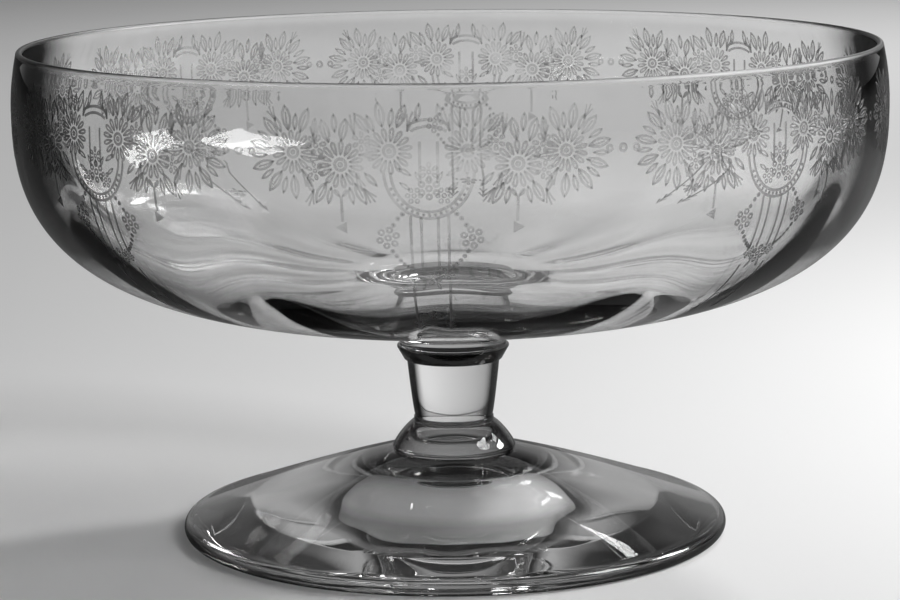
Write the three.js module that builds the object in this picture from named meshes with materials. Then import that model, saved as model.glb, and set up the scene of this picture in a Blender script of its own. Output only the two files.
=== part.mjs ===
// Compote: a footed bowl of clear glass, built from five gathers of glass on one upright axis.
// The foot carries a knop, a stem and a collar, and the bowl is fused on top.
// Millimetres, +Z up, the foot standing on z = 0.
import * as THREE from "three";

// Foot
const FOOT_RADIUS = 57.3;
const FOOT_HEIGHT = 17.2;
const FOOT_EDGE_THICKNESS = 3.5;
const FOOT_EDGE_DEPTH = 1.7;
const FOOT_TOP_POWER = 1.13;
const FOOT_REST_WIDTH = 14.0;
const HOLLOW_HEIGHT = 10.0;
const HOLLOW_FLARE = 2.0;
const HOLLOW_FILLET = 1.4;
const BOSS_RADIUS = 14.6;
const BOSS_DROP = 4.7;
const BOSS_EDGE_RADIUS = 2.4;

// Knop
const KNOP_HEIGHT = 7.0;
const KNOP_RADIUS = 12.95;
const KNOP_BASE_TUCK = 0.15;
const KNOP_WIDEST_ABOVE_BASE = 0.6;
const KNOP_LIP_STEP = 0.25;
const KNOP_LIP_HEIGHT = 0.9;
const KNOP_DOME_POWER = 1.22;

// Stem
const STEM_HEIGHT = 12.2;
const STEM_BASE_RADIUS = 8.15;
const STEM_TOP_RADIUS = 9.75;
const STEM_SWELL_POWER = 0.8;

// Collar under the bowl
const COLLAR_HEIGHT = 3.1;
const COLLAR_RADIUS = 11.8;
const COLLAR_BASE_STEP = 0.6;
const COLLAR_LIP_RADIUS = 0.35;

// Bowl
const RIM_RADIUS = 88.95;
const BELLY_RADIUS = 90.2;
const RIM_ABOVE_BELLY = 12.3;
const BELLY_DEPTH = 44.0;
const BELLY_SIDE_POWER = 3.3;
const BELLY_BASE_POWER = 2.6;
const WALL_THICKNESS = 1.5;
const FLOOR_THICKNESS = 3.0;
const NECK_HEIGHT = 7.2;
const NECK_SETBACK = 0.9;
const NECK_SPREAD = 13.0;

// Fineness of the meshes
const BOWL_SIDES = 56;
const STEM_SIDES = 40;
const ARC_STEPS = 4;
const CURVE_STEPS = 8;
const BELLY_STEPS = 16;

// Heights at which the pieces meet
const KNOP_SEAT = FOOT_HEIGHT;
const STEM_SEAT = KNOP_SEAT + KNOP_HEIGHT;
const COLLAR_SEAT = STEM_SEAT + STEM_HEIGHT;
const BOWL_SEAT = COLLAR_SEAT + COLLAR_HEIGHT;
const BELLY_BASE = BOWL_SEAT + NECK_HEIGHT;
const BELLY_LEVEL = BELLY_BASE + BELLY_DEPTH;

// Radii at which the pieces meet
const KNOP_BASE_RADIUS = KNOP_RADIUS - KNOP_BASE_TUCK;
const KNOP_TOP_RADIUS = STEM_BASE_RADIUS + KNOP_LIP_STEP;
const COLLAR_BASE_RADIUS = STEM_TOP_RADIUS + COLLAR_BASE_STEP;
const NECK_RADIUS = COLLAR_RADIUS - NECK_SETBACK;

const CLEAR_GLASS = { color: 0xf2f5f4, roughness: 0.03, metalness: 0 };

// A run of points (radius, height) where step i of the run lies at share i / steps
function run(steps, pointAt) {
  const points = [];
  for (let i = 0; i <= steps; i += 1) {
    points.push(pointAt(i / steps));
  }
  return points;
}

// Part of an ellipse round a centre, from one angle to another in degrees
function arc(centre, radii, from, to, steps) {
  return run(steps, (share) => {
    const angle = THREE.MathUtils.degToRad(from + (to - from) * share);
    return [centre[0] + radii[0] * Math.cos(angle), centre[1] + radii[1] * Math.sin(angle)];
  });
}

// A solid turned round the axis from an outline that starts and ends on it
function turned(name, outline, sides) {
  const points = outline.map(([radius, height]) => new THREE.Vector2(radius, height));
  const geometry = new THREE.LatheGeometry(points, sides);
  geometry.rotateX(Math.PI / 2);
  const mesh = new THREE.Mesh(geometry, new THREE.MeshStandardMaterial(CLEAR_GLASS));
  mesh.name = name;
  return mesh;
}

// Solid boss under the middle of the foot, from the axis out to the hollow round it
function bossOutline() {
  const bossLevel = HOLLOW_HEIGHT - BOSS_DROP;
  const edgeCentre = [BOSS_RADIUS - BOSS_EDGE_RADIUS, bossLevel + BOSS_EDGE_RADIUS];
  const filletCentre = [BOSS_RADIUS + HOLLOW_FILLET, HOLLOW_HEIGHT - HOLLOW_FILLET];
  return [
    [0, bossLevel],
    ...arc(edgeCentre, [BOSS_EDGE_RADIUS, BOSS_EDGE_RADIUS], -90, 0, ARC_STEPS),
    ...arc(filletCentre, [HOLLOW_FILLET, HOLLOW_FILLET], 180, 90, ARC_STEPS),
  ];
}

// Broad cone with a rounded edge, resting on a flat ring round a hollow that flares out to it
function foot() {
  const edgeCentre = FOOT_RADIUS - FOOT_EDGE_DEPTH;
  const halfEdge = FOOT_EDGE_THICKNESS / 2;
  const hollowStart = BOSS_RADIUS + HOLLOW_FILLET;
  const hollowSpan = edgeCentre - FOOT_REST_WIDTH - hollowStart;
  const hollow = run(CURVE_STEPS, (share) => {
    return [hollowStart + hollowSpan * share ** HOLLOW_FLARE, HOLLOW_HEIGHT * (1 - share)];
  });
  const edge = arc([edgeCentre, halfEdge], [FOOT_EDGE_DEPTH, halfEdge], -90, 90, 2 * ARC_STEPS);
  const rise = FOOT_HEIGHT - FOOT_EDGE_THICKNESS;
  const top = run(CURVE_STEPS, (share) => {
    const radius = edgeCentre + (KNOP_BASE_RADIUS - edgeCentre) * share;
    return [radius, FOOT_EDGE_THICKNESS + rise * (1 - (1 - share) ** FOOT_TOP_POWER)];
  });
  const outline = [...bossOutline(), ...hollow.slice(1), ...edge, ...top.slice(1), [0, FOOT_HEIGHT]];
  return turned("foot", outline, BOWL_SIDES);
}

// Squat bead, widest near its base, with a small lip where the stem stands on it
function knop() {
  const widest = KNOP_SEAT + KNOP_WIDEST_ABOVE_BASE;
  const domeTop = STEM_SEAT - KNOP_LIP_HEIGHT;
  const dome = run(CURVE_STEPS, (share) => {
    const angle = share * Math.PI / 2;
    const fall = Math.cos(angle) ** (2 / KNOP_DOME_POWER);
    const climb = Math.sin(angle) ** (2 / KNOP_DOME_POWER);
    return [KNOP_TOP_RADIUS + (KNOP_RADIUS - KNOP_TOP_RADIUS) * fall, widest + (domeTop - widest) * climb];
  });
  return turned("knop", [
    [0, KNOP_SEAT],
    [KNOP_BASE_RADIUS, KNOP_SEAT],
    ...dome,
    [KNOP_TOP_RADIUS, STEM_SEAT],
    [0, STEM_SEAT],
  ], STEM_SIDES);
}

// Short stem that swells towards the bowl
function stem() {
  const side = run(CURVE_STEPS, (share) => {
    const swell = (STEM_TOP_RADIUS - STEM_BASE_RADIUS) * share ** STEM_SWELL_POWER;
    return [STEM_BASE_RADIUS + swell, STEM_SEAT + STEM_HEIGHT * share];
  });
  return turned("stem", [[0, STEM_SEAT], ...side, [0, COLLAR_SEAT]], STEM_SIDES);
}

// Thin flaring disc between stem and bowl, with a rounded upper lip
function collar() {
  const lipCentre = [COLLAR_RADIUS - COLLAR_LIP_RADIUS, BOWL_SEAT - COLLAR_LIP_RADIUS];
  const lip = arc(lipCentre, [COLLAR_LIP_RADIUS, COLLAR_LIP_RADIUS], -20, 90, ARC_STEPS);
  return turned("collar", [
    [0, COLLAR_SEAT],
    [COLLAR_BASE_RADIUS, COLLAR_SEAT],
    ...lip,
    [0, BOWL_SEAT],
  ], STEM_SIDES);
}

// Half outline of the belly below its widest level, from the side to the axis
function belly(radius, depth) {
  return run(BELLY_STEPS, (share) => {
    const angle = share * Math.PI / 2;
    const inward = Math.max(Math.cos(angle), 0) ** (2 / BELLY_SIDE_POWER);
    const down = Math.sin(angle) ** (2 / BELLY_BASE_POWER);
    return [radius * inward, BELLY_LEVEL - depth * down];
  });
}

// Side of the bowl above its widest level, drawn in a little towards the rim
function shoulder(radius, height) {
  return run(ARC_STEPS, (share) => {
    return [radius - (BELLY_RADIUS - RIM_RADIUS) * share ** 2, BELLY_LEVEL + height * share];
  });
}

// Wide shallow bowl with a thin wall, a thicker floor and a short solid neck
function bowl() {
  const lipRadius = WALL_THICKNESS / 2;
  const wallHeight = RIM_ABOVE_BELLY - lipRadius;
  const spreadRadius = NECK_RADIUS + NECK_SPREAD;
  const under = belly(BELLY_RADIUS, BELLY_DEPTH).filter(([radius]) => radius > spreadRadius);
  const spreadLevel = under[under.length - 1][1];
  const neck = arc([spreadRadius, BOWL_SEAT], [-NECK_SPREAD, spreadLevel - BOWL_SEAT], 0, 75, ARC_STEPS);
  const outside = shoulder(BELLY_RADIUS, wallHeight);
  const lipCentre = [RIM_RADIUS - lipRadius, BELLY_LEVEL + wallHeight];
  const lip = arc(lipCentre, [lipRadius, lipRadius], 0, 180, ARC_STEPS);
  const inside = shoulder(BELLY_RADIUS - WALL_THICKNESS, wallHeight).reverse();
  const basin = belly(BELLY_RADIUS - WALL_THICKNESS, BELLY_DEPTH - FLOOR_THICKNESS);
  return turned("bowl", [
    [0, BOWL_SEAT],
    ...neck,
    ...under.reverse(),
    ...outside.slice(1),
    ...lip.slice(1),
    ...inside.slice(1),
    ...basin.slice(1, -1),
    [0, BELLY_BASE + FLOOR_THICKNESS],
  ], BOWL_SIDES);
}

const compote = new THREE.Group();
compote.name = "compote";
compote.add(foot(), knop(), stem(), collar(), bowl());

export default compote;
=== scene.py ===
"""Footed bowl of clear glass, with an etched band of garlands round the bowl.

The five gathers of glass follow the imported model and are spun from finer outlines.
The etching is a skin of fine frosted lines that lies on the outside of the bowl.
"""
import math
from bisect import bisect_left

import bmesh
import bpy
from mathutils import Matrix, Vector, noise


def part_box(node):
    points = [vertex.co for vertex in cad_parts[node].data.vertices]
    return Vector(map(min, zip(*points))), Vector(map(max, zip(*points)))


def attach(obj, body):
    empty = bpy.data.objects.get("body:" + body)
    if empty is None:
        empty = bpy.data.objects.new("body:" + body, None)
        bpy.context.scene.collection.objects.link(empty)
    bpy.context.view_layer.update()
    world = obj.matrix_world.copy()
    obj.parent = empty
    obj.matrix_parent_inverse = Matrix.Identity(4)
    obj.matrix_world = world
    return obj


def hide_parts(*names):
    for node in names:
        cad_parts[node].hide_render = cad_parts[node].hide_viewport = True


bl_info = {
    "name": "Etched footed bowl",
    "version": (1, 0, 0),
    "blender": (4, 5, 0),
    "location": "View3D > Sidebar > Footed bowl",
    "description": "Builds a footed bowl of clear glass with an etched band of garlands",
    "category": "Add Mesh",
}

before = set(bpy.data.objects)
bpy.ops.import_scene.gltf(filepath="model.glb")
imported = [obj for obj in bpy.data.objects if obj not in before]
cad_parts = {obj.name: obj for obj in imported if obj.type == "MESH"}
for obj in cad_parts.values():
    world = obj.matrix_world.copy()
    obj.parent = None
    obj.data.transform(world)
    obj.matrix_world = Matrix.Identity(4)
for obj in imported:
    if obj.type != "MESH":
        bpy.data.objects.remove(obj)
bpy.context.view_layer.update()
MM = 0.001
TURN = 2 * math.pi


def top_of(node):
    """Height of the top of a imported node, in metres."""
    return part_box(node)[1].z


def radius_of(node):
    """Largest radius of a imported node, in metres."""
    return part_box(node)[1].x


def length(name, description, default):
    """A length that shows with the scene's unit, in metres."""
    return bpy.props.FloatProperty(
        name=name, description=description, default=default, unit="LENGTH", subtype="DISTANCE"
    )


def share(name, description, default):
    """A plain number between 0 and 1."""
    return bpy.props.FloatProperty(
        name=name, description=description, default=default, min=0.0, max=1.0, subtype="FACTOR"
    )


def number(name, description, default):
    """A plain number without a unit."""
    return bpy.props.FloatProperty(name=name, description=description, default=default)


def count(name, description, default):
    """A whole number above nought."""
    return bpy.props.IntProperty(name=name, description=description, default=default, min=1)


def colour(name, description, default):
    """A colour without alpha."""
    return bpy.props.FloatVectorProperty(
        name=name,
        description=description,
        default=default,
        size=3,
        min=0.0,
        max=1.0,
        subtype="COLOR",
    )


def angle(name, description, default):
    """An angle round the axis."""
    return bpy.props.FloatProperty(
        name=name, description=description, default=default, unit="ROTATION", subtype="ANGLE"
    )


class CompoteFootSizes(bpy.types.PropertyGroup):
    """Sizes of the foot."""

    radius: length("Radius", "Half the width of the foot", radius_of("foot"))
    height: length("Height", "Top of the cone, where the knop stands", top_of("foot"))
    edge_thickness: length("Edge thickness", "Thickness of the rounded edge", 3.5 * MM)
    edge_depth: length("Edge depth", "How far the rounding reaches in", 1.7 * MM)
    slope_power: number("Slope power", "Above 1 the cone is steeper near its edge", 1.13)
    top_radius: length("Top radius", "Radius of the cone under the knop", 12.8 * MM)
    rest_width: length("Rest width", "Width of the ring that touches the table", 14.0 * MM)
    hollow_height: length("Hollow height", "Height of the hollow round the boss", 10.0 * MM)
    hollow_flare: number("Hollow flare", "Above 1 the hollow flares out to the ring", 2.0)
    hollow_fillet: length("Hollow fillet", "Rounding between boss and hollow", 1.4 * MM)
    boss_radius: length("Boss radius", "Radius of the boss under the stem", 14.6 * MM)
    boss_drop: length("Boss drop", "How far the boss stands below the hollow", 4.7 * MM)
    boss_edge: length("Boss edge", "Rounding of the boss", 2.4 * MM)


class CompoteStemSizes(bpy.types.PropertyGroup):
    """Sizes of the knop, the stem and the collar."""

    knop_top: length("Knop top", "Height at which the stem starts", top_of("knop"))
    knop_radius: length("Knop radius", "Widest part of the knop", radius_of("knop"))
    knop_tuck: length("Knop tuck", "How far the base of the knop is drawn in", 0.15 * MM)
    knop_belt: length("Knop belt", "Height of the widest part above the base", 0.6 * MM)
    knop_lip_step: length("Knop lip step", "Ledge round the foot of the stem", 0.25 * MM)
    knop_lip: length("Knop lip", "Height of the small lip on the knop", 0.9 * MM)
    knop_power: number("Knop power", "Below 2 the dome of the knop is hollowed", 1.22)
    stem_top: length("Stem top", "Height at which the collar starts", top_of("stem"))
    stem_base_radius: length("Stem base radius", "Radius of the stem on the knop", 8.15 * MM)
    stem_top_radius: length("Stem top radius", "Radius under the collar", radius_of("stem"))
    stem_power: number("Stem power", "Below 1 the stem swells early", 0.8)
    collar_top: length("Collar top", "Height at which the bowl starts", top_of("collar"))
    collar_radius: length("Collar radius", "Widest part of the collar", radius_of("collar"))
    collar_step: length("Collar step", "Ledge round the top of the stem", 0.6 * MM)
    collar_lip: length("Collar lip", "Rounding of the collar's upper edge", 0.35 * MM)


class CompoteBowlSizes(bpy.types.PropertyGroup):
    """Sizes of the bowl."""

    rim_height: length("Rim height", "Height of the rim above the table", top_of("bowl"))
    rim_radius: length("Rim radius", "Outer radius of the rim", 88.95 * MM)
    belly_radius: length("Belly radius", "Widest radius of the bowl", radius_of("bowl"))
    rim_rise: length("Rim rise", "Height of the rim above the widest level", 12.3 * MM)
    belly_depth: length("Belly depth", "Depth of the bowl below its widest level", 44.0 * MM)
    side_power: number("Side power", "Roundness of the side", 3.3)
    base_power: number("Base power", "Roundness of the bottom", 2.6)
    wall: length("Wall", "Thickness of the side", 1.5 * MM)
    floor: length("Floor", "Thickness of the bottom", 3.0 * MM)
    neck_radius: length("Neck radius", "Radius of the neck on the collar", 10.9 * MM)
    neck_spread: length("Neck spread", "How far the neck flares under the bowl", 13.0 * MM)
    etch_room: length("Room for the etching", "How far the side is set in", 0.06 * MM)
    optic_panels: count("Optic panels", "Soft flutes blown into the inside", 12)
    optic_depth: length("Optic depth", "Height of the ridges between the flutes", 0.55 * MM)
    optic_turn: angle("Optic turn", "Angle of the first ridge from the front", 0.0)
    unevenness: length("Unevenness", "Slow ripples of the hand-blown inside", 0.18 * MM)
    sides: count("Sides", "Steps of a full turn of the bowl and foot", 240)
    stem_sides: count("Stem sides", "Steps of a full turn of the stem", 128)


class CompoteEtchingSizes(bpy.types.PropertyGroup):
    """Sizes of the etched pattern."""

    panels: count("Panels", "How often the garland repeats round the bowl", 8)
    turn: angle("Turn", "Angle of the first panel from the front", math.radians(-2.5))
    line: length("Line", "Width of an etched line", 0.56 * MM)
    lift: length("Lift", "Height of the lines above the glass", 0.035 * MM)
    daisy_radius: length("Daisy radius", "Radius of a large flower", 4.3 * MM)
    daisy_petals: count("Daisy petals", "Petals of a large flower", 15)
    bead_radius: length("Bead radius", "Radius of a bead in the chains", 0.5 * MM)


class CompoteFinish(bpy.types.PropertyGroup):
    """Colours and finish of the glass and the etching."""

    glass: colour("Glass", "Tint of the clear glass", (0.9, 0.9, 0.9))
    glass_ior: number("Refraction", "Index of refraction of the glass", 1.5)
    wave: length("Wave", "Height of the slow waves in the glass", 0.03 * MM)
    foot_wave: length("Foot wave", "Height of the slow waves in the foot", 0.12 * MM)
    # Painted shade: the grey that the glass colour takes where it turns edgewise
    edge: colour("Edge", "Tint where the glass is darkest", (0.002, 0.002, 0.002))
    shade: share("Shade", "How much light the bowl keeps from the floor", 0.5)
    thick_shade: share("Thick shade", "How much light the thicker glass keeps back", 0.4)
    frost: colour("Frost", "Colour of the etched lines", (0.5, 0.5, 0.5))
    frost_cover: share("Frost cover", "How much an etched line hides", 0.3)
    frost_depth: length("Frost depth", "How deep the acid has bitten", 0.11 * MM)


class CompoteStage(bpy.types.PropertyGroup):
    """Floor, light and camera."""

    floor: colour("Floor", "Colour of the floor", (0.85, 0.85, 0.85))
    floor_radius: length("Floor radius", "Radius of the floor", 4.0)
    air: length("Air", "Hair of air between the foot and the floor", 0.02 * MM)
    camera_distance: length("Camera distance", "Distance of the camera from the axis", 601.2 * MM)
    camera_height: length("Camera height", "Height of the camera above the floor", 153.8 * MM)
    camera_lens: number("Lens", "Focal length of the camera in millimetres", 116.32)


# Outlines of the turned pieces, as points (radius, height)
KNOP_LIP_ROUNDING = 0.2 * MM
# Small bevel under the ledge of the collar, inwards and upwards, and the width of its lip
COLLAR_BEVEL = (0.15 * MM, 0.12 * MM)
COLLAR_LIP_WIDTH = 0.3 * MM
# Flat middle of the boss, as a share of its radius
BOSS_MIDDLE = 0.4


def run(steps, point_at):
    """Points at equal shares from 0 to 1."""
    return [point_at(i / steps) for i in range(steps + 1)]


def arc(centre, radii, start, end, steps):
    """Part of an ellipse between two angles in degrees."""

    def point(part):
        here = math.radians(start + (end - start) * part)
        return centre[0] + radii[0] * math.cos(here), centre[1] + radii[1] * math.sin(here)

    return run(steps, point)


def foot_outline(s):
    """From the middle of the underside round the edge to the top of the cone."""
    boss = s.hollow_height - s.boss_drop
    edge = s.radius - s.edge_depth
    half = s.edge_thickness / 2
    start = s.boss_radius + s.hollow_fillet
    span = edge - s.rest_width - start
    rise = s.height - s.edge_thickness

    def hollow(t):
        return start + span * t**s.hollow_flare, s.hollow_height * (1 - t)

    def cone(t):
        climb = 1 - (1 - t) ** s.slope_power
        return edge + (s.top_radius - edge) * t, s.edge_thickness + rise * climb

    boss_centre = (s.boss_radius - s.boss_edge, boss + s.boss_edge)
    fillet_centre = (start, s.hollow_height - s.hollow_fillet)
    return [
        (0, boss),
        (s.boss_radius * BOSS_MIDDLE, boss),
        *arc(boss_centre, (s.boss_edge, s.boss_edge), -90, 0, 10),
        *arc(fillet_centre, (s.hollow_fillet, s.hollow_fillet), 180, 90, 8),
        *run(40, hollow)[1:],
        *arc((edge, half), (s.edge_depth, half), -90, 90, 24),
        *run(40, cone)[1:],
        (0, s.height),
    ]


def knop_outline(s, base):
    """Squat bead with a small lip under the stem."""
    neck = s.stem_base_radius + s.knop_lip_step
    widest = base + s.knop_belt
    crown = s.knop_top - s.knop_lip

    def dome(t):
        fall = math.cos(t * math.pi / 2) ** (2 / s.knop_power) if t < 1 else 0
        climb = math.sin(t * math.pi / 2) ** (2 / s.knop_power)
        return neck + (s.knop_radius - neck) * fall, widest + (crown - widest) * climb

    lip_centre = (neck - KNOP_LIP_ROUNDING, s.knop_top - KNOP_LIP_ROUNDING)
    return [
        (0, base),
        (s.knop_radius - s.knop_tuck, base),
        *run(28, dome),
        *arc(lip_centre, (KNOP_LIP_ROUNDING, KNOP_LIP_ROUNDING), 0, 90, 4),
        (s.stem_base_radius, s.knop_top),
        (0, s.knop_top),
    ]


def stem_outline(s):
    """Short stem that swells upwards."""
    height = s.stem_top - s.knop_top
    swell = s.stem_top_radius - s.stem_base_radius

    def side(t):
        return s.stem_base_radius + swell * t**s.stem_power, s.knop_top + height * t

    return [(0, s.knop_top), *run(24, side), (0, s.stem_top)]


def collar_outline(s):
    """Thin flaring disc with a rounded upper lip."""
    bevel_in, bevel_up = COLLAR_BEVEL
    lip_centre = (s.collar_radius - s.collar_lip, s.collar_top - s.collar_lip)
    return [
        (0, s.stem_top),
        (s.stem_top_radius, s.stem_top),
        (s.stem_top_radius + s.collar_step - bevel_in, s.stem_top),
        (s.stem_top_radius + s.collar_step, s.stem_top + bevel_up),
        *arc(lip_centre, (s.collar_lip, s.collar_lip), -20, 90, 8),
        (s.collar_radius - s.collar_lip - COLLAR_LIP_WIDTH, s.collar_top),
        (0, s.collar_top),
    ]


def belly(s, radius, depth, steps):
    """Half outline of the bowl below its widest level, from the side to the axis."""
    level = s.rim_height - s.rim_rise

    def point(t):
        inward = math.cos(t * math.pi / 2) ** (2 / s.side_power) if t < 1 else 0
        return radius * inward, level - depth * math.sin(t * math.pi / 2) ** (2 / s.base_power)

    return run(steps, point)


def shoulder(s, radius, height, steps):
    """Side above the widest level, drawn in a little towards the rim."""
    level = s.rim_height - s.rim_rise
    draw = s.belly_radius - s.rim_radius
    return run(steps, lambda t: (radius - draw * t * t, level + height * t))


def bowl_outline(s, seat):
    """From the neck up the outside, over the rim and down the inside."""
    set_in = s.etch_room
    lip = s.wall / 2
    height = s.rim_rise - lip
    spread = s.neck_radius + s.neck_spread
    below = belly(s, s.belly_radius - set_in, s.belly_depth - set_in, 72)
    under = [point for point in below if point[0] > spread]
    neck = arc((spread, seat), (-s.neck_spread, under[-1][1] - seat), 0, 84, 14)
    outside = shoulder(s, s.belly_radius - set_in, height, 10)
    rim = arc((s.rim_radius - lip, s.rim_height - lip), (lip - set_in, lip), 0, 180, 14)
    inside = shoulder(s, s.belly_radius - s.wall, height, 10)[::-1]
    basin = belly(s, s.belly_radius - s.wall, s.belly_depth - s.floor, 60)
    return [(0, seat), *neck, *under[::-1], *outside[1:], *rim[1:], *inside[1:], *basin[1:]]


# How the flutes inside the bowl fade out below the rim and round the middle
FADE_STARTS_BELOW_RIM = 3 * MM
FADE_DEPTH = 30 * MM
PLAIN_MIDDLE = 10 * MM
FADE_WIDTH = 35 * MM
RIDGE_SHARPNESS = 1.25
RIPPLES_PER_METRE = 38
# Below the widest level, a point counts as inside up to a little past the inner outline
BELLY_LIMIT = 1.005
# Above it, a point counts as inside from this many walls in from the widest radius
SHOULDER_WALLS = 1.3


def on_inside(radius, down, s):
    """Whether a point of the bowl lies on its inside, at a distance down from the widest level."""
    if down <= 0:
        return radius <= s.belly_radius - SHOULDER_WALLS * s.wall
    out = (radius / (s.belly_radius - s.wall)) ** s.side_power
    out += (down / (s.belly_depth - s.floor)) ** s.base_power
    return out <= BELLY_LIMIT


def optic(bm, s):
    """Soft flutes and slow ripples on the inside of the bowl, none at the rim and in the middle."""
    level = s.rim_height - s.rim_rise
    for v in bm.verts:
        radius = v.co.xy.length
        if not on_inside(radius, level - v.co.z, s):
            continue
        below_rim = s.rim_height - FADE_STARTS_BELOW_RIM - v.co.z
        fade = min(max(below_rim / FADE_DEPTH, 0), 1)
        fade *= min(max((radius - PLAIN_MIDDLE) / FADE_WIDTH, 0), 1)
        fade = fade * fade * (3 - 2 * fade)
        around = math.atan2(v.co.x, -v.co.y) - s.optic_turn
        ridge = (0.5 + 0.5 * math.cos(s.optic_panels * around)) ** RIDGE_SHARPNESS
        ripple = 0.5 + noise.noise(v.co * RIPPLES_PER_METRE)
        v.co += v.normal * fade * (s.optic_depth * ridge + s.unevenness * ripple)


# Meshes
MERGE_DISTANCE = 1e-7
# How far from the height of a joint the middle of its faces may lie
JOINT_TOLERANCE = 1e-6
# Edges that fold more than this stay sharp
SHARP_ANGLE = math.radians(32)


def piece(name, bm, *materials):
    """Makes the object of a finished mesh."""
    mesh = bpy.data.meshes.new(name)
    bm.to_mesh(mesh)
    bm.free()
    for material in materials:
        mesh.materials.append(material)
    obj = bpy.data.objects.new(name, mesh)
    bpy.context.scene.collection.objects.link(obj)
    return obj


def turned(outline, sides):
    """Spins an outline that starts and ends on the axis into a closed solid."""
    bm = bmesh.new()
    verts = [bm.verts.new((radius, 0, height)) for radius, height in outline]
    edges = [bm.edges.new(pair) for pair in zip(verts, verts[1:])]
    bmesh.ops.spin(
        bm,
        geom=verts + edges,
        cent=(0, 0, 0),
        axis=(0, 0, 1),
        angle=TURN,
        steps=sides,
        use_merge=True,
    )
    bmesh.ops.remove_doubles(bm, verts=bm.verts, dist=MERGE_DISTANCE)
    bmesh.ops.recalc_face_normals(bm, faces=bm.faces)
    for face in bm.faces:
        face.smooth = True
    for edge in bm.edges:
        edge.smooth = edge.calc_face_angle(0) < SHARP_ANGLE
    return bm


def fuse(bm, joints):
    """Gives the joint material to the discs where gathers are fused: pairs (height, radius)."""
    for face in bm.faces:
        middle = face.calc_center_median()
        for height, radius in joints:
            if abs(middle.z - height) < JOINT_TOLERANCE and middle.xy.length < radius:
                face.material_index = 1


def glass_piece(name, bm, joints, finish, node):
    """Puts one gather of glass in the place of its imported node."""
    fuse(bm, joints)
    glass = clear_glass(name.replace("_", " "), finish, node)
    obj = piece(name, bm, glass, fused_joint())
    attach(obj, "root")
    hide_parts(node)
    return obj


# Shader nodes
def feed(tree, socket, source):
    """Links a socket to the output of another node, or sets it to a plain value."""
    if isinstance(source, bpy.types.NodeSocket):
        tree.links.new(source, socket)
    else:
        socket.default_value = source


def add_node(tree, kind, inputs, **settings):
    """A shader node with its settings and its inputs, which go by name or number."""
    node = tree.nodes.new("ShaderNode" + kind)
    for name, value in settings.items():
        setattr(node, name, value)
    for key, source in inputs.items():
        feed(tree, node.inputs[key], source)
    return node


def own_place(tree):
    """Position in the object's own coordinates."""
    return add_node(tree, "TexCoord", {}).outputs["Object"]


def own_height(tree):
    """Height in the object's own coordinates."""
    return add_node(tree, "SeparateXYZ", {"Vector": own_place(tree)}).outputs["Z"]


def facing(tree):
    """How far the surface is turned away from the eye, from 0 to 1."""
    return add_node(tree, "LayerWeight", {}).outputs["Facing"]


def noise_of(tree, place, scale, **inputs):
    """Procedural noise at a place."""
    values = {"Vector": place, "Scale": scale} | inputs
    return add_node(tree, "TexNoise", values).outputs["Fac"]


def maths(tree, operation, first, second, clamp=False):
    """Two numbers combined by a plain operation."""
    values = {0: first, 1: second}
    node = add_node(tree, "Math", values, operation=operation, use_clamp=clamp)
    return node.outputs["Value"]


def graded(tree, value, start, end, low=0.0, high=1.0, smooth=False):
    """A value that runs from start to end, mapped to run from low to high."""
    values = {"Value": value, "From Min": start, "From Max": end, "To Min": low, "To Max": high}
    kind = "SMOOTHSTEP" if smooth else "LINEAR"
    return add_node(tree, "MapRange", values, interpolation_type=kind).outputs["Result"]


def mixed_numbers(tree, factor, first, second):
    """A number between two others. A Mix node has its numbers on sockets 2 and 3."""
    return add_node(tree, "Mix", {"Factor": factor, 2: first, 3: second}).outputs[0]


def mixed_colours(tree, factor, first, second, blend="MIX"):
    """A colour between two others. A Mix node has its colours on sockets 6 and 7."""
    values = {"Factor": factor, 6: first, 7: second}
    return add_node(tree, "Mix", values, data_type="RGBA", blend_type=blend).outputs[2]


def grey(level):
    """A grey with alpha."""
    return level, level, level, 1.0


def scaled(tint, factor):
    """A colour with alpha that is a multiple of another, at most 1."""
    return (*[min(factor * part, 1.0) for part in tint], 1.0)


# Materials
# Slow waves and faint smears on all the glass, in noise steps per metre
WAVES_PER_METRE = 45.0
SMEARS_PER_METRE = 70.0
# Noise above which a smear starts and is full, and how rough it is then
SMEAR_RANGE = (0.56, 0.8)
SMEAR_ROUGHNESS = 0.05


def new_material(name):
    """A material with its node tree and its Principled node."""
    material = bpy.data.materials.new(name)
    material.use_nodes = True
    tree = material.node_tree
    return material, tree, tree.nodes["Principled BSDF"]


def glass_surface_group():
    """Slow waves, faint smears and a slight change of tint, shared by all the glass."""
    made = bpy.data.node_groups.get("surface of blown glass")
    if made:
        return made
    group = bpy.data.node_groups.new("surface of blown glass", "ShaderNodeTree")
    new_socket = group.interface.new_socket
    scales = (("Wave Scale", WAVES_PER_METRE), ("Smear Scale", SMEARS_PER_METRE))
    for name, default in scales:
        socket = new_socket(name, in_out="INPUT", socket_type="NodeSocketFloat")
        socket.default_value = default
    new_socket("Tint", in_out="INPUT", socket_type="NodeSocketColor")
    new_socket("Colour", in_out="OUTPUT", socket_type="NodeSocketColor")
    new_socket("Roughness", in_out="OUTPUT", socket_type="NodeSocketFloat")
    new_socket("Height", in_out="OUTPUT", socket_type="NodeSocketFloat")
    given = group.nodes.new("NodeGroupInput").outputs
    out = group.nodes.new("NodeGroupOutput").inputs
    place = own_place(group)
    waves = noise_of(group, place, given["Wave Scale"], Detail=1.0)
    smears = noise_of(group, place, given["Smear Scale"], Detail=4.0, Distortion=1.2)
    feed(group, out["Colour"], mixed_colours(group, smears, grey(1.0), given["Tint"]))
    feed(group, out["Roughness"], graded(group, smears, *SMEAR_RANGE, 0.0, SMEAR_ROUGHNESS))
    feed(group, out["Height"], waves)
    return group
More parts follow.
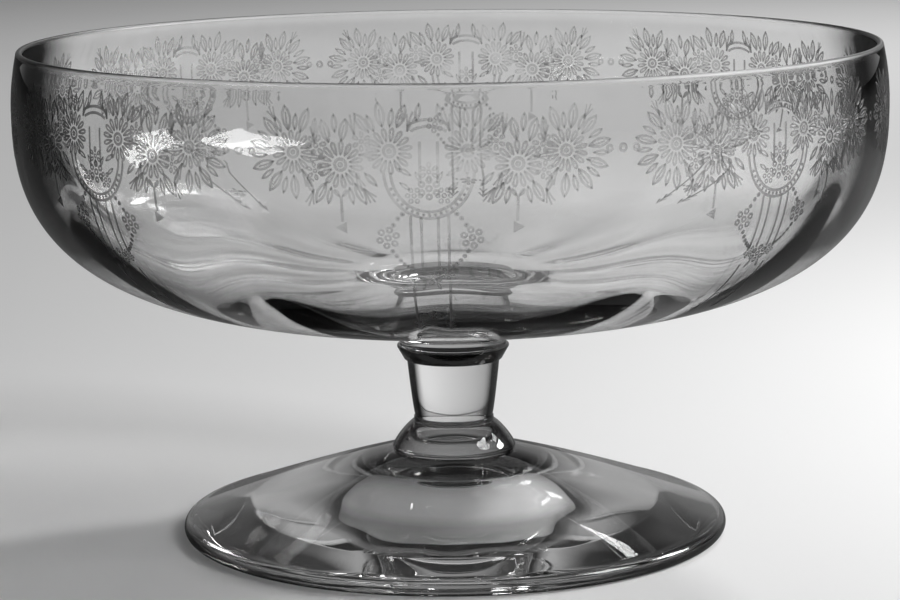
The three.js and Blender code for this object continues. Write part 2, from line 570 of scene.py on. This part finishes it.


# Painted shade on each piece: how far it is turned away from the eye, and at which height,
# each as the value where the painted shade starts and the one where it is full; the collar and knop
# are painted dark nearly all over
ALL_HEIGHTS = (-1.0, 0.0)
PAINTED_SHADE = {
    "bowl": ((0.48, 0.7), (50 * MM, 66 * MM)),
    "collar": ((-1.2, 0.0), ALL_HEIGHTS),
    "stem": ((0.3, 0.52), ALL_HEIGHTS),
    "knop": ((-0.5, 0.6), ALL_HEIGHTS),
    "foot": ((-0.5, 0.7), (11.5 * MM, 16.0 * MM)),
}
# Painted shade also darkens the rounded edge of the foot, over these heights
PAINTED_SHADE_FOOT_EDGE = (3.8 * MM, 2.6 * MM)
# The lip of the bowl is dull over these heights
DULL_LIP = (top_of("bowl") - 1.1 * MM, top_of("bowl") - 0.5 * MM)
LIP_ROUGHNESS = 0.4
# Turn away from the light over which glass comes to cast its full shade
SHADE_RANGE = (0.2, 1.0)


def painted_edge_shade(tree, colour_of_glass, finish, node):
    """Paints shade into a piece's colour where it turns away from the eye, over a band of heights.
    """
    away, heights = PAINTED_SHADE[node]
    height = own_height(tree)
    place = graded(tree, height, *heights, smooth=True)
    if node == "foot":
        place = maths(tree, "MAXIMUM", place, graded(tree, height, *PAINTED_SHADE_FOOT_EDGE))
    # Painted shade: the glass colour goes towards the edge grey where the piece turns edgewise
    painted_share = maths(tree, "MULTIPLY", graded(tree, facing(tree), *away, smooth=True), place)
    return mixed_colours(tree, painted_share, colour_of_glass, (*finish.edge, 1.0))


def dull_rim(tree, roughness):
    """Makes the lip, which was ground before it was polished, a little duller."""
    lip = graded(tree, own_height(tree), *DULL_LIP, 0.0, LIP_ROUGHNESS)
    return maths(tree, "ADD", lip, roughness)


def soft_shade(tree, shade):
    """Lets a lamp's light through to the floor, less where the glass stands edgewise."""
    shadow = add_node(tree, "LightPath", {}).outputs["Is Shadow Ray"]
    kept = graded(tree, facing(tree), *SHADE_RANGE, shade, 1.0, smooth=True)
    return mixed_numbers(tree, shadow, 1.0, kept)


def clear_glass(name, finish, node):
    """Colourless fire-polished glass, with shade painted into its colour where it turns edgewise.
    """
    material, tree, shader = new_material(name)
    surface = tree.nodes.new("ShaderNodeGroup")
    surface.node_tree = glass_surface_group()
    surface.inputs["Tint"].default_value = (*finish.glass, 1.0)
    roughness = surface.outputs["Roughness"]
    if node == "bowl":
        roughness = dull_rim(tree, roughness)
    bump = add_node(tree, "Bump", {
        "Strength": 1.0,
        "Distance": finish.foot_wave if node == "foot" else finish.wave,
        "Height": surface.outputs["Height"],
    })
    shade = finish.shade if node == "bowl" else finish.thick_shade
    for name_of_input, source in (
        ("Base Color", painted_edge_shade(tree, surface.outputs["Colour"], finish, node)),
        ("Roughness", roughness),
        ("Normal", bump.outputs["Normal"]),
        ("Alpha", soft_shade(tree, shade)),
        ("IOR", finish.glass_ior),
        ("Transmission Weight", 1.0),
    ):
        feed(tree, shader.inputs[name_of_input], source)
    return material


def fused_joint():
    """Where two gathers are fused there is no surface, so these faces show nothing."""
    made = bpy.data.materials.get("fused joint")
    if made:
        return made
    material, _, shader = new_material("fused joint")
    shader.inputs["Alpha"].default_value = 0.0
    return material


# Fine pits in the etched lines, in noise steps per metre, and how tint and roughness vary over them
PITS_PER_METRE = 1900.0
PIT_DEPTH = 0.05 * MM
PIT_TINTS = (0.6, 1.5)
PIT_ROUGHNESS = (0.22, 0.5)
# Slower change in how well the acid took, and how much more or less a line covers for it
BITE_PER_METRE = 160.0
BITE_RANGE = (0.3, 0.7)
UNEVEN_COVER = 0.2
# Turn away from the eye over which a line comes to cover more and darken with painted shade
EDGEWISE_RANGE = (0.04, 0.5)
FULLER_EDGEWISE = 0.45
PAINTED_SHADE_EDGEWISE = 0.12


def etched_frost(finish):
    """Lines bitten into the glass by acid: finely pitted, lower in the middle, and with shade
    painted in where they turn edgewise.
    """
    material, tree, shader = new_material("etched frost")
    place = own_place(tree)
    pits = noise_of(tree, place, PITS_PER_METRE, Detail=3.0)
    bite = noise_of(tree, place, BITE_PER_METRE)
    edgewise = graded(tree, facing(tree), *EDGEWISE_RANGE)
    pit_tints = [scaled(finish.frost, factor) for factor in PIT_TINTS]
    tint = mixed_colours(tree, pits, *pit_tints)
    # Painted shade: edgewise the lines darken towards a deep grey
    tint = mixed_colours(tree, edgewise, tint, scaled(finish.frost, PAINTED_SHADE_EDGEWISE))
    cover = finish.frost_cover
    uneven = graded(tree, bite, *BITE_RANGE, cover - UNEVEN_COVER, cover + UNEVEN_COVER)
    cover_seen = mixed_numbers(tree, edgewise, uneven, min(cover + FULLER_EDGEWISE, 1.0))
    across = add_node(tree, "Attribute", {}, attribute_name="across").outputs["Fac"]
    groove = add_node(tree, "Bump", {
        "Strength": 1.0,
        "Distance": 2 * finish.frost_depth,
        "Height": maths(tree, "PINGPONG", across, 0.5),
    }, invert=True)
    pitted = add_node(tree, "Bump", {
        "Strength": 0.5,
        "Distance": PIT_DEPTH,
        "Height": pits,
        "Normal": groove.outputs["Normal"],
    })
    for name_of_input, source in (
        ("Base Color", tint),
        ("Roughness", graded(tree, pits, 0.0, 1.0, *PIT_ROUGHNESS)),
        ("Alpha", cover_seen),
        ("Normal", pitted.outputs["Normal"]),
        ("Specular IOR Level", 0.3),
    ):
        feed(tree, shader.inputs[name_of_input], source)
    return material


# Etched motifs, drawn flat in millimetres: x runs round the bowl and y up its side
def drawing():
    """An empty mesh whose points know which side of a line they are on: 0 or 1."""
    bm = bmesh.new()
    bm.verts.layers.float.new("across")
    return bm


def motif(*parts):
    """A flat motif as a mesh, made by functions that each add one part to it."""
    bm = drawing()
    for part in parts:
        part(bm)
    mesh = bpy.data.meshes.new("motif")
    bm.to_mesh(mesh)
    bm.free()
    return mesh


def stamp(target, mesh, x, y, turn=0.0, size=1.0, flip=False):
    """Adds a motif to a mesh at a place, turned in degrees, scaled, and mirrored if asked."""
    place = Matrix.Translation((x, y, 0)) @ Matrix.Rotation(math.radians(turn), 4, "Z")
    place = place @ Matrix.Diagonal((-size if flip else size, size, 1, 1))
    mesh.transform(place)
    target.from_mesh(mesh)
    mesh.transform(place.inverted())


def turn_flat(bm, verts, turn):
    """Turns flat points round the origin, in degrees."""
    matrix = Matrix.Rotation(math.radians(turn), 3, "Z")
    bmesh.ops.rotate(bm, cent=(0, 0, 0), matrix=matrix, verts=verts)


def closed_line(width, height, line, sides=12, point=0.0, taper=0.0):
    """Outline of an oval round the origin, in a number of sides.

    point draws both ends of the oval to a tip, and taper narrows its lower end.
    """

    def add(bm):
        verts = bmesh.ops.create_circle(bm, cap_ends=True, segments=sides, radius=1.0)["verts"]
        turn_flat(bm, verts, 90)
        for v in verts:
            end = max(1 - v.co.y**2, 0.0) ** (0.5 * point)
            v.co.x *= end * (1 - taper * (1 - v.co.y) / 2)
        bmesh.ops.scale(bm, vec=(width / 2, height / 2, 1), verts=verts)
        face = verts[0].link_faces[0]
        bmesh.ops.inset_individual(bm, faces=[face], thickness=line, use_even_offset=True)
        across = bm.verts.layers.float["across"]
        for v in face.verts:
            v[across] = 1.0
        bmesh.ops.delete(bm, geom=[face], context="FACES")

    return add


def open_line(path, line):
    """A line of even width along a path of points."""

    def add(bm):
        last = len(path) - 1
        across = bm.verts.layers.float["across"]
        verts = bmesh.ops.create_grid(bm, x_segments=last, y_segments=1, size=1.0)["verts"]
        for v in verts:
            i = round((v.co.x + 1) / 2 * last)
            ahead, behind = path[min(i + 1, last)], path[max(i - 1, 0)]
            along = Vector((ahead[0] - behind[0], ahead[1] - behind[1])).normalized()
            v[across] = 1.0 if v.co.y > 0 else 0.0
            side = line * (v[across] - 0.5)
            v.co = (path[i][0] - along.y * side, path[i][1] + along.x * side, 0)

    return add


def moved(part, x, y, turn=0.0):
    """The same part of a motif at another place."""

    def add(bm):
        old = set(bm.verts)
        part(bm)
        new = [v for v in bm.verts if v not in old]
        turn_flat(bm, new, turn)
        bmesh.ops.translate(bm, vec=(x, y, 0), verts=new)

    return add


def ring_of(part, number_of, radius):
    """Copies of a part round the origin, each turned outwards."""
    parts = []
    for i in range(number_of):
        turn = 360 * i / number_of
        x = -radius * math.sin(math.radians(turn))
        y = radius * math.cos(math.radians(turn))
        parts.append(moved(part, x, y, turn))
    return parts


def straight(x, top, bottom, step=1.3):
    """Points of an upright line."""
    steps = max(1, round((top - bottom) / step))
    return run(steps, lambda t: (x, top + (bottom - top) * t))


def swag(start, end, sag, steps):
    """Points of a hanging curve between two places."""
    return run(steps, lambda t: (
        start[0] + (end[0] - start[0]) * t,
        start[1] + (end[1] - start[1]) * t - 4 * sag * t * (1 - t),
    ))


# Length and width of a daisy's petal, as shares of the flower's radius
PETAL_LENGTH = 0.64
PETAL_WIDTH = 0.34


def make_motifs(s):
    """The separate flat motifs of one panel."""
    line = s.line / MM
    bead = 2 * s.bead_radius / MM
    daisy = s.daisy_radius / MM
    petal_length = daisy * PETAL_LENGTH
    petal = closed_line(daisy * PETAL_WIDTH, petal_length, line * 0.8, sides=10, taper=0.5)
    small_petal = closed_line(1.35, 1.7, line * 0.8, sides=8, taper=0.3)
    floret_petal = closed_line(1.45, 1.5, line * 0.85, sides=8)
    return {
        "daisy": motif(
            *ring_of(petal, s.daisy_petals, daisy - petal_length / 2),
            closed_line(2.6, 2.6, line, sides=14),
            closed_line(1.1, 1.1, line * 0.8, sides=8),
        ),
        "blossom": motif(
            *ring_of(small_petal, 6, 1.5), closed_line(1.3, 1.3, line * 0.8, sides=8)
        ),
        "floret": motif(
            *ring_of(floret_petal, 6, 1.6), closed_line(1.5, 1.5, line * 0.8, sides=8)
        ),
        "leaf": motif(
            closed_line(1.9, 4.7, line * 0.85, sides=14, point=0.8),
            open_line([(0, -2.2), (0.1, -0.6), (0, 1.0)], line * 0.6),
        ),
        "blade": motif(closed_line(1.3, 3.7, line * 0.85, sides=12, point=0.7)),
        "sprig": motif(
            open_line(swag((-0.9, 1.7), (0.0, -1.5), -0.3, 4), line * 0.7),
            open_line(swag((0.9, 1.5), (0.0, -1.5), -0.3, 4), line * 0.7),
            open_line([(0, 2.2), (0.1, 0.4), (0, -1.5)], line * 0.7),
        ),
        "bead": motif(closed_line(bead, bead, line, sides=8)),
        "pearl": motif(closed_line(1.8, 1.8, line, sides=12)),
        "drop": motif(moved(closed_line(2.9, 2.7, 0.72, sides=3), 0, 0, 180)),
        "loop": motif(closed_line(1.2, 1.9, line * 0.9, sides=10, taper=0.5)),
    }


# One panel of the garland in millimetres, from its middle line and from the rim down.
# The oval hoop: its middle, its two lines and the beads between them
HOOP_MIDDLE = (0.0, -15.2)
HOOP_LINES = ((8.1, 8.9), (6.9, 7.7))
HOOP_BEADS = (7.5, 8.3)
# Stripes on both sides of the middle: how far out, top and bottom
STRIPES = ((1.55, -23.8675, -34.6), (3.45, -23.5825, -34.6), (1.6, -10.2, -17.0))
LONG_STRIPE = (3.6, -38.6, -54.6)
# Barbs on the long stripes: half their width, where they start and their tip
BARBS = ((1.1, -53.4, -55.6), (0.9, -51.4, -53.2))
# Flowers and leaves by motif: rows of x, y, turn in degrees and size. A row that lies off the
# middle line is stamped on the right and in mirror image on the left
GARLAND = (
    ("daisy", ((7.0, -11.9, 8, 1.0), (15.9, -14.4, 3, 1.02), (24.7, -12.3, -6, 0.94))),
    ("leaf", (
        (4.9, -5.7, 20, 1.0), (8.7, -5.4, -12, 1.05), (12.0, -6.9, -40, 1.0),
        (15.3, -8.2, 10, 0.95), (18.7, -8.4, -20, 1.0), (22.6, -6.6, 18, 1.05),
        (26.0, -6.2, -12, 1.05), (29.0, -7.9, -42, 1.0), (30.9, -11.2, -76, 1.0),
        (30.5, -14.8, -110, 1.0), (28.2, -17.6, -145, 1.05), (24.5, -18.6, 176, 1.0),
        (12.3, -19.6, 152, 1.0), (19.6, -19.5, -152, 1.0),
    )),
    ("blade", (
        (1.9, -5.1, 8, 1.0), (10.4, -17.0, 135, 1.0), (21.6, -18.2, 160, 0.9),
        (17.0, -7.0, -6, 1.0), (6.7, -6.0, 6, 1.0), (10.4, -7.0, -26, 1.0),
        (20.7, -7.8, 6, 1.0), (24.3, -6.9, 2, 0.9), (27.6, -7.4, -26, 0.95),
        (30.2, -9.5, -60, 0.9), (31.2, -13.0, -93, 0.9), (29.7, -16.4, -128, 0.9),
        (26.4, -18.3, -165, 0.95), (14.0, -20.0, 168, 0.95), (18.0, -20.0, -168, 0.95),
        (4.3, -15.6, 120, 0.8),
    )),
    ("sprig", (
        (3.4, -7.0, 16, 1.0), (13.6, -7.6, -14, 1.0), (20.6, -9.2, 0, 1.0),
        (11.2, -12.6, 90, 0.9), (22.4, -16.6, 150, 1.0), (10.9, -19.6, 140, 0.9),
        (21.4, -20.2, -160, 0.9), (12.6, -17.2, 160, 0.9), (28.6, -5.8, -30, 0.8),
        (19.9, -13.2, -90, 0.8),
    )),
    ("blossom", ((12.0, -10.2, 0, 0.8), (20.4, -11.0, 20, 0.9), (20.6, -15.6, 50, 0.75))),
    ("floret", ((0, -18.6, 0, 0.95), (0, -36.3, 0, 0.95))),
    ("floret", ((7.7, -27.9, 12, 1.0), (2.7, -19.9, 30, 0.72), (2.9, -35.6, 20, 0.66))),
    ("blossom", ((0, -15.6, 0, 0.8), (0, -48.3, 0, 0.8))),
    ("blade", ((1.9, -16.6, -28, 0.7), (4.3, -18.2, -55, 0.7), (1.4, -38.7, -160, 0.6))),
    ("bead", ((1.7, -47.796, 0, 0.75), (2.8, -47.664, 0, 0.75))),
)
# Chains of beads: start, end, sag and number of steps between beads
CHAINS = (((4.9, -23.3), (6.6, -25.4), -0.2, 2), ((7.0, -30.6), (3.6, -34.3), 0.5, 5))
# Drops under the garland, and the line that each hangs on: how far out, top and bottom
PENDANTS = (
    ("loop", ((15.2, -19.6, 40, 1.0), (16.6, -19.6, -40, 1.0))),
    ("drop", ((15.9, -26.0, 0, 1.0),)),
)
PENDANT_LINE = (15.9, -20.2, -24.9)
# Pearls where two panels meet
PEARL_LEVEL = -12.3
PEARL_SPACING = 2.6


def hoop_and_stripes(bm, line):
    """The two lines of the hoop, open at its shoulders, and the stripes in and under it."""
    for radii in HOOP_LINES:
        open_line(arc(HOOP_MIDDLE, radii, 62, 118, 14), line)(bm)
        open_line(arc(HOOP_MIDDLE, radii, -176, -4, 40), line)(bm)
    for out, top, bottom in STRIPES:
        for x in (-out, out):
            open_line(straight(x, top, bottom), line)(bm)
    out, top, bottom = LONG_STRIPE
    for x in (-out, out):
        open_line(straight(x, top, bottom), line)(bm)
        for half, start, tip in BARBS:
            open_line([(x - half, start), (x, tip), (x + half, start)], line)(bm)


def panel_mesh(s, width):
    """One panel of the garland, symmetric about its middle."""
    line = s.line / MM
    made = make_motifs(s)
    bm = drawing()

    def both_sides(name, x, y, turn=0.0, size=1.0):
        stamp(bm, made[name], x, y, turn, size)
        if x:
            stamp(bm, made[name], -x, y, -turn, size, flip=True)

    def all_of(table):
        for name, rows in table:
            for row in rows:
                both_sides(name, *row)

    hoop_and_stripes(bm, line)
    for x, y in arc(HOOP_MIDDLE, HOOP_BEADS, -155, -25, 16):
        stamp(bm, made["bead"], x, y, 0, 0.7)
    all_of(GARLAND)
    for chain in CHAINS:
        for x, y in swag(*chain):
            both_sides("bead", x, y)
    all_of(PENDANTS)
    out, top, bottom = PENDANT_LINE
    for x in (out, -out):
        open_line(straight(x, top, bottom), line)(bm)
    stamp(bm, made["pearl"], width / 2, PEARL_LEVEL)
    both_sides("pearl", width / 2 - PEARL_SPACING, PEARL_LEVEL, 0, 0.85)
    mesh = bpy.data.meshes.new("panel")
    bm.to_mesh(mesh)
    bm.free()
    for used in made.values():
        bpy.data.meshes.remove(used)
    return mesh


class Side:
    """The outside of the bowl by the distance down from its rim."""

    def __init__(self, s):
        height = s.rim_rise - s.wall / 2
        radius = s.belly_radius - s.etch_room
        down = shoulder(s, radius, height, 24)[::-1]
        down += belly(s, radius, s.belly_depth - s.etch_room, 240)[1:]
        self.points = down
        self.reach = [s.wall / 2]
        for (r0, z0), (r1, z1) in zip(down, down[1:]):
            self.reach.append(self.reach[-1] + math.hypot(r1 - r0, z1 - z0))

    def at(self, distance, lift):
        """Radius and height at a distance below the rim, lifted off the glass."""
        i = min(max(bisect_left(self.reach, distance), 1), len(self.reach) - 1)
        (r0, z0), (r1, z1) = self.points[i - 1], self.points[i]
        step = self.reach[i] - self.reach[i - 1]
        part = (distance - self.reach[i - 1]) / step
        out = Vector((z0 - z1, r1 - r0)) / step * lift
        return r0 + (r1 - r0) * part + out.x, z0 + (z1 - z0) * part + out.y


def etching_mesh(s, bowl):
    """All the panels, wrapped round the outside of the bowl."""
    width = TURN * bowl.belly_radius / MM / s.panels
    panel = panel_mesh(s, width)
    bm = drawing()
    for i in range(s.panels):
        stamp(bm, panel, i * width, 0)
    bpy.data.meshes.remove(panel)
    side = Side(bowl)
    for v in bm.verts:
        around = v.co.x * MM / bowl.belly_radius + s.turn
        radius, height = side.at(-v.co.y * MM, s.lift)
        v.co = (radius * math.sin(around), -radius * math.cos(around), height)
    bm.normal_update()
    inward = [f for f in bm.faces if f.normal.dot(f.calc_center_median() * Vector((1, 1, 0))) < 0]
    bmesh.ops.reverse_faces(bm, faces=inward)
    return bm


# Stage
# Soft square lamps: name, place, point it is aimed at, size in metres and power in watts
LAMPS = (
    ("window", (0.546, -0.12, 0.501), (0, 0, 0.04), 0.24, 2.6),
    ("backdrop lamp", (0.5, 1.1, 1.0), (0.1, 0.9, 0), 0.15, 8.0),
    ("side lamp", (0.46, 0.16, 0.28), (0.1, 0.05, 0), 0.15, 1.7),
)
# How bright the surroundings are: for each axis, how far a direction points along it and the
# level there. The levels of the three axes are multiplied
SURROUNDINGS = (
    ("Z", ((-1.0, 0.45), (0.25, 0.45), (0.45, 0.05), (0.8, 0.05), (0.95, 0.4))),
    ("Y", ((-1.0, 0.3), (0.0, 0.3), (0.5, 1.0))),
    ("X", ((-1.0, 0.15), (-0.6, 0.15), (-0.35, 0.75), (0.45, 1.0), (0.7, 0.15), (1.0, 0.15))),
)
# Faint patches on the floor, in noise steps per metre, and how much darker they are
PATCHES_PER_METRE = 6.0
PATCH_TINT = 0.97
FLOOR_ROUGHNESS = 0.9
# Grey that the floor is painted where the glass mirrors it: a painted reflection of a dark room,
# and painted shade under the foot
PAINTED_REFLECTION_AND_SHADE = 0.12
# How often light may pass through glass, and how often it may be mirrored
GLASS_BOUNCES = 24
MIRROR_BOUNCES = 12
CAMERA_PITCH = math.radians(9.92)
CAMERA_YAW = math.radians(-0.05)
CAMERA_ROLL = math.radians(-0.7)


def area_lamp(name, place, aim, size, power):
    """A square soft lamp aimed at a point."""
    lamp = bpy.data.lights.new(name, "AREA")
    lamp.size = size
    lamp.energy = power
    obj = bpy.data.objects.new(name, lamp)
    bpy.context.scene.collection.objects.link(obj)
    obj.location = place
    obj.rotation_euler = (Vector(aim) - Vector(place)).to_track_quat("-Z", "Y").to_euler()


def mirrored_by_glass(tree, place):
    """Whether a ray was mirrored by the outside of the glass, or under the foot by its inside:
    where the floor is painted dark.
    """
    ray = add_node(tree, "LightPath", {}).outputs
    glossy, through = ray["Is Glossy Ray"], ray["Is Transmission Ray"]
    outside = maths(tree, "SUBTRACT", glossy, through, clamp=True)
    away = add_node(tree, "VectorMath", {0: place}, operation="LENGTH").outputs["Value"]
    under = maths(tree, "LESS_THAN", away, radius_of("foot"))
    inside = maths(tree, "MULTIPLY", under, ray["Glossy Depth"], clamp=True)
    return maths(tree, "MAXIMUM", outside, inside)


def pale_floor(stage):
    """Round pale floor under the bowl, painted dark grey where glass mirrors it: a painted
    reflection, and painted shade under the foot.
    """
    bm = bmesh.new()
    bmesh.ops.create_circle(bm, cap_ends=True, segments=96, radius=stage.floor_radius)
    bmesh.ops.translate(bm, vec=(0, 0, -stage.air), verts=bm.verts)
    material, tree, shader = new_material("pale floor")
    place = own_place(tree)
    patches = noise_of(tree, place, PATCHES_PER_METRE)
    tint = mixed_colours(tree, patches, scaled(stage.floor, PATCH_TINT), scaled(stage.floor, 1.0))
    mirrored = mirrored_by_glass(tree, place)
    # Painted reflection of a dark room, and painted shade under the foot, in the floor's colour
    floor_with_painted_reflection = mixed_colours(tree, mirrored, tint, grey(PAINTED_REFLECTION_AND_SHADE))
    feed(tree, shader.inputs["Base Color"], floor_with_painted_reflection)
    shader.inputs["Roughness"].default_value = FLOOR_ROUGHNESS
    obj = piece("floor", bm, material)


def studio_world():
    """A pale backdrop low behind the bowl, dark to its sides and above it, and a soft ceiling."""
    world = bpy.data.worlds.new("studio")
    bpy.context.scene.world = world
    world.use_nodes = True
    tree = world.node_tree
    place = add_node(tree, "TexCoord", {}).outputs["Generated"]
    direction = add_node(tree, "SeparateXYZ", {"Vector": place}).outputs
    light = None
    for axis, levels in SURROUNDINGS:
        ramp = add_node(tree, "ValToRGB", {"Fac": graded(tree, direction[axis], -1.0, 1.0)})
        steps = ramp.color_ramp.elements
        steps.remove(steps[1])
        steps[0].position = (levels[0][0] + 1) / 2
        steps[0].color = grey(levels[0][1])
        for value, level in levels[1:]:
            steps.new((value + 1) / 2).color = grey(level)
        here = ramp.outputs["Color"]
        light = here if light is None else mixed_colours(tree, 1.0, light, here, "MULTIPLY")
    feed(tree, tree.nodes["Background"].inputs["Color"], light)


def front_camera(stage):
    """Camera in front and a little above, as the bowl was photographed."""
    level = Vector((math.sin(CAMERA_YAW), math.cos(CAMERA_YAW), 0))
    ahead = math.cos(CAMERA_PITCH) * level - math.sin(CAMERA_PITCH) * Vector((0, 0, 1))
    right = Vector((math.cos(CAMERA_YAW), -math.sin(CAMERA_YAW), 0))
    up = right.cross(ahead)
    turned_right = math.cos(CAMERA_ROLL) * right + math.sin(CAMERA_ROLL) * up
    turned_up = math.cos(CAMERA_ROLL) * up - math.sin(CAMERA_ROLL) * right
    camera = bpy.data.cameras.new("camera")
    camera.lens = stage.camera_lens
    camera.sensor_width = 36.0
    camera.clip_start = 0.01
    camera.clip_end = 50.0
    obj = bpy.data.objects.new("camera", camera)
    bpy.context.scene.collection.objects.link(obj)
    place = Matrix((turned_right, turned_up, -ahead)).transposed().to_4x4()
    place.translation = (0, -stage.camera_distance, stage.camera_height)
    obj.matrix_world = place
    bpy.context.scene.camera = obj


class COMPOTE_OT_foot(bpy.types.Operator):
    """Spin the foot"""

    bl_idname = "compote.foot"
    bl_label = "Foot"

    def execute(self, context):
        scene = context.scene
        sizes = scene.compote_foot
        joints = [(sizes.height, sizes.top_radius)]
        bm = turned(foot_outline(sizes), scene.compote_bowl.sides)
        glass_piece("glass_foot", bm, joints, scene.compote_finish, "foot")
        return {"FINISHED"}


class COMPOTE_OT_knop(bpy.types.Operator):
    """Spin the knop"""

    bl_idname = "compote.knop"
    bl_label = "Knop"

    def execute(self, context):
        scene = context.scene
        sizes = scene.compote_stem
        base = scene.compote_foot.height
        joints = [(base, sizes.knop_radius), (sizes.knop_top, sizes.stem_base_radius)]
        bm = turned(knop_outline(sizes, base), scene.compote_bowl.stem_sides)
        glass_piece("glass_knop", bm, joints, scene.compote_finish, "knop")
        return {"FINISHED"}


class COMPOTE_OT_stem(bpy.types.Operator):
    """Spin the stem"""

    bl_idname = "compote.stem"
    bl_label = "Stem"

    def execute(self, context):
        scene = context.scene
        sizes = scene.compote_stem
        joints = [(sizes.knop_top, sizes.stem_base_radius), (sizes.stem_top, sizes.stem_top_radius)]
        bm = turned(stem_outline(sizes), scene.compote_bowl.stem_sides)
        glass_piece("glass_stem", bm, joints, scene.compote_finish, "stem")
        return {"FINISHED"}


class COMPOTE_OT_collar(bpy.types.Operator):
    """Spin the collar"""

    bl_idname = "compote.collar"
    bl_label = "Collar"

    def execute(self, context):
        scene = context.scene
        sizes = scene.compote_stem
        neck_radius = scene.compote_bowl.neck_radius
        joints = [(sizes.stem_top, sizes.stem_top_radius), (sizes.collar_top, neck_radius)]
        bm = turned(collar_outline(sizes), scene.compote_bowl.stem_sides)
        glass_piece("glass_collar", bm, joints, scene.compote_finish, "collar")
        return {"FINISHED"}


class COMPOTE_OT_bowl(bpy.types.Operator):
    """Spin the bowl"""

    bl_idname = "compote.bowl"
    bl_label = "Bowl"

    def execute(self, context):
        scene = context.scene
        sizes = scene.compote_bowl
        seat = scene.compote_stem.collar_top
        joints = [(seat, sizes.neck_radius)]
        bm = turned(bowl_outline(sizes, seat), sizes.sides)
        optic(bm, sizes)
        glass_piece("glass_bowl", bm, joints, scene.compote_finish, "bowl")
        return {"FINISHED"}


class COMPOTE_OT_etching(bpy.types.Operator):
    """Etch the band of garlands round the bowl"""

    bl_idname = "compote.etching"
    bl_label = "Etching"

    def execute(self, context):
        scene = context.scene
        bm = etching_mesh(scene.compote_etching, scene.compote_bowl)
        obj = piece("etched_garlands", bm, etched_frost(scene.compote_finish))
        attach(obj, "root")
        return {"FINISHED"}


class COMPOTE_OT_stage(bpy.types.Operator):
    """Set up the floor, the light and the camera"""

    bl_idname = "compote.stage"
    bl_label = "Stage"

    def execute(self, context):
        scene = context.scene
        stage = scene.compote_stage
        scene.view_settings.view_transform = "Standard"
        scene.cycles.max_bounces = GLASS_BOUNCES
        scene.cycles.transmission_bounces = GLASS_BOUNCES
        scene.cycles.glossy_bounces = MIRROR_BOUNCES
        scene.cycles.transparent_max_bounces = GLASS_BOUNCES
        pale_floor(stage)
        studio_world()
        for lamp in LAMPS:
            area_lamp(*lamp)
        front_camera(stage)
        return {"FINISHED"}


class COMPOTE_PT_sidebar(bpy.types.Panel):
    """Lists the pieces of the footed bowl"""

    bl_label = "Footed bowl"
    bl_idname = "COMPOTE_PT_sidebar"
    bl_space_type = "VIEW_3D"
    bl_region_type = "UI"
    bl_category = "Footed bowl"

    def draw(self, context):
        for operator in OPERATORS:
            self.layout.operator(operator.bl_idname)


OPERATORS = (
    COMPOTE_OT_foot,
    COMPOTE_OT_knop,
    COMPOTE_OT_stem,
    COMPOTE_OT_collar,
    COMPOTE_OT_bowl,
    COMPOTE_OT_etching,
    COMPOTE_OT_stage,
)
SETTINGS = {
    "compote_foot": CompoteFootSizes,
    "compote_stem": CompoteStemSizes,
    "compote_bowl": CompoteBowlSizes,
    "compote_etching": CompoteEtchingSizes,
    "compote_finish": CompoteFinish,
    "compote_stage": CompoteStage,
}


def register():
    for name, group in SETTINGS.items():
        bpy.utils.register_class(group)
        setattr(bpy.types.Scene, name, bpy.props.PointerProperty(type=group))
    for operator in OPERATORS:
        bpy.utils.register_class(operator)
    bpy.utils.register_class(COMPOTE_PT_sidebar)


def unregister():
    bpy.utils.unregister_class(COMPOTE_PT_sidebar)
    for operator in reversed(OPERATORS):
        bpy.utils.unregister_class(operator)
    for name, group in SETTINGS.items():
        delattr(bpy.types.Scene, name)
        bpy.utils.unregister_class(group)


def main():
    """Builds the pieces and the stage in order."""
    register()
    bpy.ops.compote.foot()
    bpy.ops.compote.knop()
    bpy.ops.compote.stem()
    bpy.ops.compote.collar()
    bpy.ops.compote.bowl()
    bpy.ops.compote.etching()
    bpy.ops.compote.stage()


if __name__ == "__main__":
    main()
